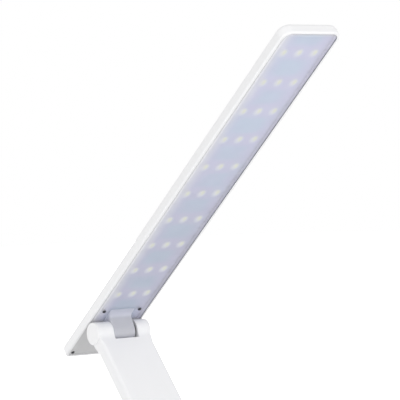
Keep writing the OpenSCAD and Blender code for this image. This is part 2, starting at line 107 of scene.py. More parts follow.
class LampHeadSizes(bpy.types.PropertyGroup):
    """Sizes of the light head."""

    lift: angle("Lift", "Angle of the light head above horizontal", 41.2)
    tip_corner: length("Tip corner", "Radius of the corners at the tip", 7)
    tail_corner: length("Tail corner", "Radius of the corners at the tail", 4)
    soft: length("Soft edge", "Radius of the soft edge round the back", 2.7)
    rim: length("Rim", "Width of the white rim round the panel", 1.9)
    rim_edge: length("Rim edge", "Rounding of the rim's outer edge", 0.8)
    lip_edge: length("Lip edge", "Rounding of the rim's inner edge", 0.25)
    ledge: length("Ledge", "Width of the step that carries the panel", 2.2)
    # The next two size the painted shade at the panel's edge: a dark strip and ring standing in for
    # the shadowed gap by the rim.
    seal: length("Seal", "Width of the grey seal in the panel's border", 0.4)
    gap_shade_wall: length("Gap shade wall", "Thickness of the seal between panel and rim", 0.12)
    skin: length("Skin", "Thickness of the back", 1.4)
    split: length("Split", "Place of the joint between panel and tail plate", 1.4)
    bar: length("Bar", "Half the width of the bar below that joint", 0.7)
    pad_side: length("Pad side", "Half the width of the block below the tail plate", 14)
    pad_reach: length("Pad reach", "Reach of that block behind the hinge", 24)
    led_start: length("First row", "Distance from the hinge to the first row", 29.7)
    led_pitch: length("Row pitch", "Distance between rows of lights", 25)
    led_gap: length("Column pitch", "Distance between columns of lights", 10.7)
    led_rows: IntProperty(name="Rows", description="Rows of lights", default=10, min=1)
    led_cols: IntProperty(name="Columns", description="Lights in each row", default=3, min=1)
    halo: length("Halo", "Radius of the pale patch over each light", 4.5)


class LampHingeSizes(bpy.types.PropertyGroup):
    """Sizes of the two hinges and the arm."""

    barrel: length("Barrel", "Radius of the arm's hinge barrels", 7.1)
    knuckle: length("Knuckle", "Radius of the knuckles", 6.9)
    root: length("Root", "Height of the hollow root of the knuckle", 2.5)
    foot: length("Foot", "Half the depth of the knuckle where it meets its root", 8.4)
    left: length("Knuckle left", "Left side of the knuckles, from the middle", 7.9)
    right: length("Knuckle right", "Right side of the knuckles, from the middle", 8.3)
    slot_depth: length("Slot depth", "Depth of the slots below the hinge axes", 8.4)
    slot_left: length("Slot left", "Left side of the slots, from the middle", 8)
    slot_right: length("Slot right", "Right side of the slots, from the middle", 9.6)
    blend: length("Blend", "Radius of the hollow between the arm and its barrels", 7.7)
    arm_soft: length("Arm edge", "Radius of the arm's long edges", 2.5)
    barrel_edge: length("Barrel edge", "Radius of the edges round the barrels", 0.5)
    arm_front: length("Arm front", "Height of the arm's front above the hinge axes", 4.5)
    front_skin: length("Front skin", "Thickness of the arm's front", 1.8)
    arm_wall: length("Arm wall", "Thickness of the arm's sides", 2)
    cover_skin: length("Cover skin", "Thickness of the arm's back cover", 1.5)
    seam: length("Seam", "Depth of the joint between the arm and its cover", 2)
    screw: length("Screw", "Radius of the screw heads in the cover", 2.2)
    screw_sink: length("Screw sink", "Depth of the recess for each head", 0.7)
    plug: length("Plug", "Radius of the plug behind each hinge cap", 3.9)


class LampBaseSizes(bpy.types.PropertyGroup):
    """Sizes of the base."""

    corner: length("Corner", "Corner radius of the base, seen from above", 16)
    soft: length("Soft edge", "Radius of the soft edge round the top", 4)
    wall: length("Wall", "Thickness of the shell", 2.2)
    pad_corner: length("Pad corner", "Corner radius of the non-slip pad", 9)
    button: length("Button", "Radius of the power button", 6.4)
    dish: length("Dish", "Depth of the hollow in the power button", 0.35)


class LampColours(bpy.types.PropertyGroup):
    """Colours of the lamp's finishes."""

    white: colour("White", "White mouldings", (0.9, 0.9, 0.91))
    grey: colour("Grey", "Tail plate and hinge post", (0.65, 0.65, 0.655))
    knuckle: colour("Knuckle", "Knuckle of the light head", (0.53, 0.535, 0.58))
    knuckle_root: colour("Knuckle root", "Root of the knuckle, by the panel", (0.54, 0.555, 0.65))
    panel: colour("Panel", "Cool tint between the lights", (0.72, 0.8, 0.93))
    haze: colour("Haze", "Warmer tint beside the lights", (0.79, 0.785, 0.95))
    # This tint also paints the highlight down the panel's left side and along its tip.
    milk_and_highlight: colour("Milk and highlight", "Pale tint over each light and on the left", (0.98, 0.98, 1.0))
    board: colour("Board", "Solder mask behind the panel", (0.74, 0.77, 0.88))
    phosphor: colour("Phosphor", "Pale yellow light sources", (0.98, 1.0, 0.76))
    # Dark grey of the painted shade in the gap between panel and rim.
    seal: colour("Seal", "Seal between the panel and the rim", (0.3, 0.3, 0.33))
    screw: colour("Screws", "Blackened screws", (0.03, 0.03, 0.035))
    rubber: colour("Rubber", "Non-slip pad", (0.035, 0.035, 0.038))
    button: colour("Button", "Power button", (0.66, 0.67, 0.7))
    white_lead: colour("White lead", "Lead inside the head", (0.6, 0.6, 0.6))
    black_lead: colour("Black leads", "Leads inside the arm and the base", (0.02, 0.02, 0.02))
    card: colour("Card", "Solder mask of the cards in the base", (0.02, 0.16, 0.05))
    steel: colour("Steel", "Pins, strip and bright screws", (0.56, 0.56, 0.57))
    aluminium: colour("Aluminium", "Sheet behind the lights", (0.76, 0.77, 0.78))
    ballast: colour("Ballast", "Steel plate in the base", (0.26, 0.26, 0.27))


class LampStage(bpy.types.PropertyGroup):
    """Camera, light and floor."""

    camera_place: FloatVectorProperty(
        name="Camera", description="Where the camera stands",
        default=(-0.73663, -1.02753, 0.38825), subtype="TRANSLATION", unit="LENGTH",
    )
    camera_turn: angle("Turn", "How far the camera looks to the right", 34.697)
    camera_drop: angle("Drop", "How far the camera looks down", 3.568)
    camera_lens: FloatProperty(name="Lens", description="Focal length in mm", default=197.47)
    sky: FloatProperty(name="Sky", description="Strength of the light from all round", default=0.74)
    floor: colour("Floor", "Pale floor", (0.88, 0.88, 0.88))
    floor_reach: length("Floor reach", "Half the width of the floor", 3000)
    floor_near: length("Floor near", "Distance at which the floor starts to turn white", 250)
    floor_far: length("Floor far", "Distance at which the floor is white", 900)


# Name, place in metres, width in metres and power in watts of each lamp that lights the stage.
LAMPS = (
    ("key", (-2.6, -0.5, 0.9), 1.4, 9.5),
    ("low", (-1.4, -1.2, 0.25), 0.5, 1.2),
    ("front", (0.0, -1.6, 0.25), 0.5, 6.6),
)
LAMPS_AIM = Vector((0, 0, 0.25))

GROUPS = {
    "lamp_head": LampHeadSizes,
    "lamp_hinge": LampHingeSizes,
    "lamp_base": LampBaseSizes,
    "lamp_colours": LampColours,
    "lamp_stage": LampStage,
}


def arc(x, y, radius, start, end, steps=6):
    """Points on a round stretch, from one angle to another in degrees."""
    angles = [math.radians(start + (end - start) * i / steps) for i in range(steps + 1)]
    return [(x + radius * math.cos(a), y + radius * math.sin(a)) for a in angles]


def circle(x, y, radius, steps):
    """Points of a full circle. A radius of 0 becomes a trace, so that its faces keep an area."""
    return arc(x, y, max(radius, LEAST_RADIUS), 0, 360 - 360 / steps, steps - 1)


def round_rect(low, high, radii, steps=8):
    """Outline of a rectangle with four round corners, anticlockwise from the lower left one."""
    points = []
    for i, (sx, sy) in enumerate(((-1, -1), (1, -1), (1, 1), (-1, 1))):
        radius = max(radii[i], LEAST_CORNER)
        x = (high[0] if sx > 0 else low[0]) - sx * radius
        y = (high[1] if sy > 0 else low[1]) - sy * radius
        points += arc(x, y, radius, 180 + 90 * i, 270 + 90 * i, steps)
    return points


def shrunk_rect(low, high, radii, inset, steps=8):
    """The same outline drawn in by inset on every side."""
    low = (low[0] + inset, low[1] + inset)
    high = (high[0] - inset, high[1] - inset)
    return round_rect(low, high, [r - inset for r in radii], steps)


def add_object(name, data, place=Matrix.Identity(4)):
    """An object in the scene, at that placement."""
    made = bpy.data.objects.new(name, data)
    made.matrix_world = place
    bpy.context.scene.collection.objects.link(made)
    return made


def eased_side(inset, low, high, ease):
    """Profile of an upright side with a soft upper edge."""
    return [(inset, low), (inset, high - ease), *arc(inset + ease, high - ease, ease, 180, 90, 3)]


class Form:
    """A closed mesh under construction, in a piece's own axes."""

    def __init__(self):
        self.mesh = bmesh.new()

    def loft(self, rings):
        """Skin over rings of equally many points, closed at both ends."""
        loops = [[self.mesh.verts.new(point) for point in ring] for ring in rings]
        count = len(loops[0])
        for near, far in zip(loops, loops[1:]):
            for i in range(count):
                j = (i + 1) % count
                self.mesh.faces.new((near[i], near[j], far[j], far[i]))
        self.mesh.faces.new(loops[0][::-1])
        self.mesh.faces.new(loops[-1])
        return self

    def tray(self, low, high, radii, profile, steps=8):
        """Loft of a round-cornered outline along (inset, level) points."""
        return self.loft([
            [(x, y, level) for x, y in shrunk_rect(low, high, radii, inset, steps)]
            for inset, level in profile
        ])

    def block(self, low, high, edge=0.3 * MM):
        """Box with all its edges eased."""
        profile = arc(edge, low[2] + edge, edge, 270, 180, 3)
        profile += arc(edge, high[2] - edge, edge, 180, 90, 3)
        return self.tray(low, high, [edge] * 4, profile, 3)

    def prism(self, outline, low, high):
        """Outline in X and Y given a height."""
        return self.loft([[(x, y, z) for x, y in outline] for z in (low, high)])

    def lathe(self, profile, centre=(0, 0), steps=32):
        """Profile of (radius, level) points turned about an upright axis."""
        rings = [[(x, y, z) for x, y in circle(*centre, radius, steps)] for radius, z in profile]
        return self.loft(rings)

    def roll(self, profile):
        """Profile of (radius, place along X) points turned about the X axis."""
        rings = [[(x, y, z) for y, z in circle(0, 0, radius, 48)] for radius, x in profile]
        return self.loft(rings)

    def spread(self, places):
        """Copies of what is built so far, one at each placement, in its stead."""
        source = self.mesh
        self.mesh = bmesh.new()
        for place in places:
            copies = {v: self.mesh.verts.new(place @ v.co) for v in source.verts}
            for face in source.faces:
                self.mesh.faces.new([copies[v] for v in face.verts])
        source.free()
        return self

    def piece(self, name):
        """The form as an object."""
        bmesh.ops.recalc_face_normals(self.mesh, faces=self.mesh.faces)
        data = bpy.data.meshes.new(name)
        self.mesh.to_mesh(data)
        self.mesh.free()
        return add_object(name, data)


def settle(piece):
    """Applies the piece's modifiers."""
    bpy.context.view_layer.update()
    graph = bpy.context.evaluated_depsgraph_get()
    data = bpy.data.meshes.new_from_object(piece.evaluated_get(graph))
    piece.modifiers.clear()
    piece.data = data
    data.name = piece.name


def combine(piece, form, operation="DIFFERENCE"):
    """Cuts a form from a piece, or keeps what the two have in common."""
    tool = form.piece("tool")
    modifier = piece.modifiers.new("Combine", "BOOLEAN")
    modifier.object = tool
    modifier.operation = operation
    modifier.solver = "EXACT"
    settle(piece)
    bpy.data.objects.remove(tool)


def dress(piece, place, body, finish, replaced=(), ease=0.0, sharp=35):
    """Puts a piece in place, eases its edges, and gives it the named finish and its body."""
    piece.data.transform(place)
    if ease:
        bevel = piece.modifiers.new("Ease", "BEVEL")
        bevel.width = ease
        bevel.segments = 3
        bevel.limit_method = "ANGLE"
        bevel.angle_limit = math.radians(sharp)
        settle(piece)
    for face in piece.data.polygons:
        face.use_smooth = True
    piece.data.set_sharp_from_angle(angle=math.radians(sharp))
    weighted = piece.modifiers.new("Shading", "WEIGHTED_NORMAL")
    weighted.keep_sharp = True
    piece.data.materials.clear()
    piece.data.materials.append(material(finish))
    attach(piece, body)
    if replaced:
        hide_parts(*replaced)
    return piece


class Value:
    """An output in a node tree. Sums on values add the Math nodes that work them out."""

    def __init__(self, tree, socket):
        self.tree = tree
        self.socket = socket

    def other(self, name):
        """Another output of the node that this value comes from."""
        return Value(self.tree, self.socket.node.outputs[name])

    def math(self, operation, *others):
        """The result of a Math node on this value and others."""
        node = self.tree.nodes.new("ShaderNodeMath")
        node.operation = operation
        for socket, item in zip(node.inputs, (self, *others)):
            plug(self.tree, socket, item)
        return Value(self.tree, node.outputs[0])

    def kept(self, low, high):
        """The value kept between two limits."""
        return self.math("MAXIMUM", low).math("MINIMUM", high)

    def __add__(self, other):
        return self.math("ADD", other)

    def __mul__(self, other):
        return self.math("MULTIPLY", other)

    def __sub__(self, other):
        return self.math("SUBTRACT", other)

    def __rsub__(self, other):
        return self.math("MULTIPLY", -1) + other

    def __truediv__(self, other):
        return self.math("DIVIDE", other)

    __radd__ = __add__
    __rmul__ = __mul__


def plug(tree, socket, item):
    """Links a value into a socket, or sets the socket to a constant."""
    if isinstance(item, Value):
        tree.links.new(item.socket, socket)
    else:
        socket.default_value = item


class Nodes:
    """A node tree under construction."""

    def __init__(self, tree):
        self.tree = tree
        self.tree.nodes.clear()

    def node(self, kind, settings=None, inputs=None, output=0):
        """Adds a node: its type, its settings, its sockets, and the output that is wanted."""
        node = self.tree.nodes.new(kind)
        for key, item in (settings or {}).items():
            setattr(node, key, item)
        for key, item in (inputs or {}).items():
            plug(self.tree, node.inputs[key], item)
        return Value(self.tree, node.outputs[output]) if node.outputs else node

    def mix(self, factor, first, second):
        """Colour between two colours."""
        pick = {0: factor, 6: first, 7: second}
        return self.node("ShaderNodeMix", {"data_type": "RGBA"}, pick, output=2)

    def point(self):
        """The shaded point, in the object's own axes and in metres."""
        return self.node("ShaderNodeTexCoord", output=3)

    def place(self, scale=(1, 1, 1)):
        """The shaded point, stretched by scale."""
        return self.node("ShaderNodeMapping", None, {"Vector": self.point(), "Scale": scale})

    def local(self, place):
        """X of the point in the axes of that placement; Y and Z are other outputs."""
        inputs = {"Vector": self.point(), "Location": place.translation,
                  "Rotation": place.to_euler()}
        mapped = self.node("ShaderNodeMapping", {"vector_type": "TEXTURE"}, inputs)
        return self.node("ShaderNodeSeparateXYZ", None, {0: mapped})

    def ramp(self, value, start, end):
        """Smooth climb from 0 at start to 1 at end."""
        inputs = {"Value": value, "From Min": start, "From Max": end}
        return self.node("ShaderNodeMapRange", {"interpolation_type": "SMOOTHSTEP"}, inputs)

    def oval(self, x, y, wide, tall):
        """1 in the middle of an oval of that half width and half height, and 0 outside it."""
        x, y = x / wide, y / tall
        return self.ramp((x * x + y * y).math("SQRT"), 1, 0.2)

    def scaled(self, tint, factor):
        """A colour made darker or lighter by a varying factor."""
        return self.node("ShaderNodeVectorMath", {"operation": "SCALE"}, {0: tint, "Scale": factor})

    def noise(self, scale, detail=2.0, stretch=(1, 1, 1)):
        """Soft noise from 0 to 1; scale is in waves a metre."""
        inputs = {"Vector": self.place(stretch), "Scale": scale, "Detail": detail}
        return self.node("ShaderNodeTexNoise", None, inputs)

    def spread(self, value, low, high):
        """A noise, whose values lie mostly between 0.3 and 0.7, stretched from low to high."""
        inputs = {"Value": value, "From Min": 0.3, "From Max": 0.7, "To Min": low, "To Max": high}
        return self.node("ShaderNodeMapRange", None, inputs)

    def seen(self):
        """1 for rays from the camera and those that gloss or glass sends on, 0 for the rest."""
        path = self.node("ShaderNodeLightPath")
        mirrored = path.other("Is Glossy Ray").math("MAXIMUM", path.other("Is Transmission Ray"))
        return path.math("MAXIMUM", mirrored)

    def bump(self, height, depth):
        """Normal of a surface whose relief is depth metres deep."""
        return self.node("ShaderNodeBump", None, {"Height": height, "Distance": depth})


def finish(name):
    """A new material and its empty node tree."""
    material = bpy.data.materials.new(name)
    material.use_nodes = True
    return material, Nodes(material.node_tree)


def close(material, nodes, sockets):
    """Ends a material with its one shader, whose sockets take constants or links."""
    shader = nodes.node("ShaderNodeBsdfPrincipled", None, sockets)
    nodes.node("ShaderNodeOutputMaterial", None, {"Surface": shader})
    return material


def shade(tone, amount=1):
    """A colour for a socket, made lighter or darker by a factor."""
    return (*(min(1, part * amount) for part in tone), 1)


def moulded(name, tone, rough, grain, relief, coat=0.0):
    """Moulded plastic: faint flow marks in the colour, uneven gloss and a fine grain."""
    material, nodes = finish(name)
    flow = nodes.spread(nodes.noise(9, 1), 0, 1)
    return close(material, nodes, {
        "Base Color": nodes.mix(flow, shade(tone, 0.992), shade(tone, 1.005)),
        "Roughness": nodes.spread(nodes.noise(24, 1), rough * 0.95, rough * 1.05),
        "Normal": nodes.bump(nodes.noise(grain, 2), relief),
        "Coat Weight": coat,
        "Coat Roughness": 0.12,
        "IOR": PLASTIC_IOR,
    })


def milky_panel(name, tones):
    """Frosted panel: cool and warm clouds, a pale patch where it spreads each light, a painted
    highlight down its left side and along its tip, and painted shade toward its hinge end.
    """
    material, nodes = finish(name)
    head = bpy.context.scene.lamp_head
    side, tip = panel_reach()
    milk_and_highlight = shade(tones.milk_and_highlight)
    x = nodes.local(on_head())
    y = x.other("Y")
    off_middle = x.math("ABSOLUTE")

    # Distance from the nearest light, along each axis.
    half = (head.led_cols - 1) / 2
    column = (x / head.led_gap + half).math("ROUND").kept(0, 2 * half)
    row = ((y - head.led_start) / head.led_pitch).math("ROUND").kept(0, head.led_rows - 1)
    dx = x - (column - half) * head.led_gap
    dy = y - head.led_start - row * head.led_pitch

    # Cool between the rows and in the middle, warmer beside the lights.
    cloud = nodes.spread(nodes.noise(45, 2), -0.35, 0.35)
    between = nodes.ramp(dy.math("ABSOLUTE"), 3 * MM, 9 * MM)
    middle = nodes.ramp(off_middle, 15 * MM, 4 * MM)
    cool = (between * middle + cloud).kept(0, 1)
    tint = nodes.mix(cool, shade(tones.haze), shade(tones.panel))

    # Painted shade: darker toward the hinge end and brighter toward the tip, then painted light
    # that brightens it again at the knuckle.
    light = nodes.ramp(y, 40 * MM, 230 * MM) * 0.15 + 0.85
    tint = nodes.scaled(tint, nodes.ramp(y, 22 * MM, 4 * MM) * 0.15 + light)

    # Painted highlight down the left side and in a line along the tip, in the milky tint; milky
    # round each light where the panel spreads it.
    pale = nodes.ramp(x + cloud * (2 * MM), -9.5 * MM, -18 * MM)
    tip_highlight = nodes.ramp(y, tip - 2.8 * MM, tip - 2.2 * MM)
    halo = nodes.oval(dx + head.halo * 0.15, dy + head.halo * 0.1, head.halo * 0.9, head.halo)
    for share in (pale * 0.95, tip_highlight * 0.35, halo * 0.85):
        tint = nodes.mix(share, tint, milk_and_highlight)
    core = nodes.oval(dx, dy, head.halo * 0.4, head.halo * 0.7)
    tint = nodes.mix(core * 0.8, tint, shade(tones.phosphor))

    # A printed border that lets less light through, and at its edge a dark strip of painted shade
    # for the shadowed gap next to the rim.
    border = nodes.ramp(off_middle, 15.5 * MM, 17 * MM)
    inside = (side - off_middle).math("MINIMUM", tip - y)
    seal = nodes.ramp(inside, head.seal, head.seal * 0.7)
    return close(material, nodes, {
        "Base Color": nodes.mix(seal, tint, shade(tones.seal)),
        "Roughness": nodes.spread(nodes.noise(90, 3), 0.16, 0.22),
        "Alpha": nodes.spread(nodes.noise(33, 2), 0.42, 0.48) + border * 0.15 + seal * 0.5,
        "Normal": nodes.bump(nodes.noise(70, 1), 0.02 * MM),
        "IOR": PLASTIC_IOR,
    })


def tinted_knuckle(name, tones):
    """Moulding whose root takes on the cool tint of the panel round it."""
    material, nodes = finish(name)
    level = nodes.local(on_head()).other("Z")
    root = nodes.ramp(level, -4 * MM, -8 * MM)
    flow = nodes.spread(nodes.noise(60, 2), 0.97, 1.03)
    tint = nodes.mix(root, shade(tones.knuckle), shade(tones.knuckle_root))
    return close(material, nodes, {
        "Base Color": nodes.scaled(tint, flow),
        "Roughness": nodes.spread(nodes.noise(24, 1), 0.32, 0.36),
        "Normal": nodes.bump(nodes.noise(1800, 2), 0.01 * MM),
        "IOR": PLASTIC_IOR,
    })


def metal(name, tone, rough, stretch=(1, 1, 1)):
    """Worked metal with a grain along one direction."""
    material, nodes = finish(name)
    grain = nodes.noise(900, 3, stretch)
    return close(material, nodes, {
        "Base Color": nodes.mix(nodes.noise(40, 3), shade(tone, 0.93), shade(tone, 1.04)),
        "Metallic": 1.0,
        "Roughness": nodes.spread(grain, rough * 0.8, rough * 1.2),
        "Normal": nodes.bump(grain, 0.006 * MM),
    })


def circuit_card(name, tone):
    """Solder mask over copper tracks."""
    material, nodes = finish(name)
    track = nodes.node("ShaderNodeTexBrick", None, {
        "Vector": nodes.place(), "Scale": 120.0, "Mortar Size": 0.06,
        "Color1": (1, 1, 1, 1), "Color2": (0.9, 0.9, 0.9, 1), "Mortar": (0, 0, 0, 1),
    })
    return close(material, nodes, {
        "Base Color": nodes.mix(track, shade(tone, 1.12), shade(tone)),
        "Roughness": nodes.spread(nodes.noise(150, 2), 0.28, 0.4),
        "Normal": nodes.bump(track, 0.03 * MM),
    })


def rubber(name, tone):
    """Soft rubber with a pebbled face."""
    material, nodes = finish(name)
    inputs = {"Vector": nodes.place(), "Scale": 700.0}
    pebble = nodes.node("ShaderNodeTexVoronoi", {"feature": "SMOOTH_F1"}, inputs)
    return close(material, nodes, {
        "Base Color": nodes.mix(nodes.noise(30, 3), shade(tone, 0.9), shade(tone, 1.15)),
        "Roughness": nodes.spread(nodes.noise(200, 2), 0.66, 0.82),
        "Normal": nodes.bump(pebble, 0.08 * MM),
    })


def panel_reach():
    """Right side and tip of the light panel, in the head's axes."""
    head = bpy.context.scene.lamp_head
    edge = cad_box("head_housing", on_head())[1]
    return edge.x - head.rim, edge.y - head.rim


def material(name):
    """A finish of the lamp, made when it is first wanted."""
    title = "lamp_" + name
    if title in bpy.data.materials:
        return bpy.data.materials[title]
    tones = bpy.context.scene.lamp_colours
    make, *values = {
        "white": (moulded, tones.white, 0.3, 1500, 0.006 * MM, 0.15),
        "grey": (moulded, tones.grey, 0.42, 1800, 0.012 * MM),
        "button": (moulded, tones.button, 0.36, 1600, 0.008 * MM),
        "black": (moulded, tones.screw, 0.38, 1600, 0.008 * MM),
        "friction": (moulded, tones.rubber, 0.5, 1600, 0.012 * MM),
        "white_lead": (moulded, tones.white_lead, 0.5, 900, 0.02 * MM),
        "black_lead": (moulded, tones.black_lead, 0.5, 900, 0.02 * MM),
        "phosphor": (moulded, tones.phosphor, 0.25, 2500, 0.004 * MM, 0.6),
        # Dark grey finish that paints the shadowed gap round the panel.
        "seal": (moulded, tones.seal, 0.5, 1800, 0.012 * MM),
        "knuckle": (tinted_knuckle, tones),
        "panel": (milky_panel, tones),
        "board": (circuit_card, tones.board),
        "card": (circuit_card, tones.card),
        "rubber": (rubber, tones.rubber),
        "steel": (metal, tones.steel, 0.3, (1, 30, 30)),
        "aluminium": (metal, tones.aluminium, 0.34, (40, 1, 1)),
        "ballast": (metal, tones.ballast, 0.5),
    }[name]
    return make(title, *values)


class LAMP_OT_camera(bpy.types.Operator):
    """Sets the camera as the photograph's"""

    bl_idname = "lamp.camera"
    bl_label = "Camera"

    def execute(self, context):
        stage = context.scene.lamp_stage
        data = bpy.data.cameras.new("camera")
        data.lens = stage.camera_lens
        data.clip_end = 100
        turn = Matrix.Rotation(-stage.camera_turn, 4, "Z")
        drop = Matrix.Rotation(math.pi / 2 - stage.camera_drop, 4, "X")
        place = Matrix.Translation(stage.camera_place) @ turn @ drop
        context.scene.camera = add_object("camera", data, place)
        return {"FINISHED"}


class LAMP_OT_housing(bpy.types.Operator):
    """Builds the white tray of the light head"""

    bl_idname = "lamp.housing"
    bl_label = "Head housing"

    def execute(self, context):
        head = context.scene.lamp_head
        place = on_head()
        low, high = cad_box("head_housing", place)
        seat = cad_box("light_panel", place)[0].z
        floor = low.z + head.skin
        well = head.rim + head.ledge
        soft, edge, lip = head.soft, head.rim_edge, head.lip_edge
        profile = arc(soft, low.z + soft, soft, 270, 180, 10)
        profile += arc(edge, high.z - edge, edge, 180, 90, 5)
        profile += arc(head.rim - lip, high.z - lip, lip, 90, 0, 3)
        profile += [(head.rim, seat), (well, seat), (well, floor)]
        radii = [head.tail_corner] * 2 + [head.tip_corner] * 2
        form = Form().tray(low, high, radii, profile, 12)
        bar_low = (low.x + well, head.split - head.bar, floor - 0.3 * MM)
        bar_high = (high.x - well, head.split + head.bar, seat)
        piece = form.block(bar_low, bar_high, 0.1 * MM).piece("head_shell")
        dress(piece, place, "head", "white", ["head_housing"])
        return {"FINISHED"}


class LAMP_OT_lights(bpy.types.Operator):
    """Builds the light sources: white packages with pale yellow windows"""

    bl_idname = "lamp.lights"
    bl_label = "Light sources"

    def execute(self, context):
        head = context.scene.lamp_head
        place = on_head()
        low, high = cad_box("leds", place)
        across = [(i - (head.led_cols - 1) / 2) * head.led_gap for i in range(head.led_cols)]
        along = [head.led_start + i * head.led_pitch for i in range(head.led_rows)]
        places = [Matrix.Translation((x, y, low.z)) for y in along for x in across]
        tall = high.z - low.z
        half = Vector((1.4, 1.75)) * MM
        top = tall * 0.8
        body = eased_side(0, 0, top, 0.12 * MM) + [(0.3 * MM, top), (0.42 * MM, tall * 0.62)]
        packages = Form().tray(-half, half, [0.3 * MM] * 4, body, 4).spread(places)
        dress(packages.piece("led_packages"), place, "head", "white", ["leds"])
        radius = 1.0 * MM
        dome = 0.45 * MM
        window = [(radius, tall * 0.5)] + arc(radius - dome, tall * 0.55, dome, 0, 90, 6)
        window = [(r, min(z, tall)) for r, z in window] + [(0, tall)]
        windows = Form().lathe(window, steps=24).spread(places)
        dress(windows.piece("led_windows"), place, "head", "phosphor", sharp=60)
        return {"FINISHED"}


class LAMP_OT_panel(bpy.types.Operator):
    """Builds the milky light panel with its notch for the knuckle"""

    bl_idname = "lamp.panel"
    bl_label = "Light panel"

    def execute(self, context):
        head = context.scene.lamp_head
        hinge = context.scene.lamp_hinge
        place = on_head()
        low, high = cad_box("light_panel", place)
        rim_level = cad_box("head_housing", place)[1].z
        side, tip = panel_reach()
        corners = (-side, low.y), (side, tip)
        radii = [0.3 * MM] * 2 + [head.tip_corner - head.rim] * 2
        beyond = 1 * MM

        # A thin dark ring round the panel, painted shade standing in for the shadowed gap between
        # panel and rim.
        thin = head.gap_shade_wall
        outline = round_rect(*corners, radii, 12)
        seal = Form().prism(outline, low.z + 0.1 * MM, rim_level - 0.15 * MM).piece("panel_seal")
        inner = shrunk_rect((-side, low.y - beyond), corners[1], radii, thin, 12)
        combine(seal, Form().prism(inner, low.z - beyond, high.z + beyond))
        dress(seal, place, "head", "seal")

        profile = eased_side(thin, low.z, high.z, 0.12 * MM)
        plate = Form().tray(*corners, radii, profile, 12).piece("panel_plate")
        gap = 0.03 * MM
        notch = cad_box("tail_cover", place)[1].y + gap
        notch_low = (-hinge.left - gap, -notch, low.z - beyond)
        notch_high = (hinge.right + gap, notch, high.z + beyond)
        combine(plate, Form().block(notch_low, notch_high, 0.01 * MM))
        dress(plate, place, "head", "panel", ["light_panel"])
        return {"FINISHED"}


def screw_form(head_r, head_h, shank_r, shank_l):
    """Screw with a domed head and a cross recess, upright, its head standing on level 0."""
    edge = 0.25 * head_h
    profile = [(shank_r * 0.6, -shank_l), (shank_r, -shank_l + shank_r * 0.6), (shank_r, 0)]
    profile += [(head_r, 0)] + arc(head_r - edge, head_h * 0.6, edge, 0, 60, 3)
    profile += [(head_r * 0.6, head_h * 0.93), (head_r * 0.25, head_h), (0, head_h)]
    screw = Form().lathe(profile).piece("screw")
    arm = head_r * 0.62
    half = head_r * 0.13
    floor = head_h * 0.45
    for x, y in ((arm, half), (half, arm)):
        combine(screw, Form().block((-x, -y, floor), (x, y, head_h * 2), 0.02 * MM))
    return screw


def screws(name, node, place, body, finish, spots, level, sizes, flip=False):
    """One piece with a screw at each spot, standing in for a packed group of screws."""
    screw = screw_form(*sizes)
    form = Form()
    form.mesh.from_mesh(screw.data)
    bpy.data.objects.remove(screw)
    turn = Matrix.Rotation(math.pi, 4, "X") if flip else Matrix.Identity(4)
    places = []
    for i, (x, y) in enumerate(spots):
        twist = Matrix.Rotation(math.radians(17 + 52 * i), 4, "Z")
        places.append(Matrix.Translation((x, y, level)) @ turn @ twist)
    piece = form.spread(places).piece(name)
    return dress(piece, place, body, finish, [node])


class LAMP_OT_head_screws(bpy.types.Operator):
    """Builds the dark screws of the panel and the tail plate"""

    bl_idname = "lamp.head_screws"
    bl_label = "Head screws"

    def execute(self, context):
        place = on_head()
        plate = cad_box("light_panel", place)[1].z
        for name, node, shank in (
            ("panel_screw_heads", "panel_screws", 0.8 * MM),
            ("tail_screw_heads", "tail_screws", 0.7 * MM),
        ):
            low, high = cad_box(node, place)
            radius = (high.y - low.y) / 2
            middle = (low.y + high.y) / 2
            sizes = (radius, high.z - plate, shank, plate - low.z)
            spots = [(low.x + radius, middle), (high.x - radius, middle)]
            screws(name, node, place, "head", "black", spots, plate, sizes)
        return {"FINISHED"}


def knuckle_rings(hinge, drop, root, reach):
    """Rings of a knuckle, from its flared root that far below the axis to the top of its eye."""
    foot = hinge.foot
    radius = hinge.knuckle
    edge = 1.1 * MM
    flare_out = 0.8 * MM
    flare_from, flare_fade = 3.5 * MM, 4 * MM
    touch = math.acos(radius / math.hypot(foot, drop)) - math.atan2(drop, foot)
    touch_half, touch_level = radius * math.cos(touch), radius * math.sin(touch)
    levels = [-drop + root * (1 - math.cos(math.radians(a))) for a in range(0, 91, 10)]
    levels.append((touch_level - drop) * 0.3)
    round_part = (*range(round(math.degrees(touch)), 90, 6), 89.4)
    levels += [radius * math.sin(math.radians(a)) for a in round_part]
    rings = []
    for level in sorted(levels):
        if level < touch_level:
            share = (level + drop) / (touch_level + drop)
            half = foot + (touch_half - foot) * share
        else:
            half = math.sqrt(max(radius ** 2 - level ** 2, 0))
        climb = min(max((level + drop) / root, 0), 1)
        flare = 1 - math.sqrt(max(1 - (1 - climb) ** 2, 0))
        corner = min(edge, half * 0.9)
        ring = []
        for x, y in round_rect((-hinge.left, -half), (hinge.right, half), [corner] * 4, 10):
            outer = min(max((abs(y) - flare_from) / flare_fade, 0), 1)
            x += math.copysign(flare * outer * flare_out, x)
            ring.append((x, y * (1 + flare * reach / foot), level))
        rings.append(ring)
    return rings


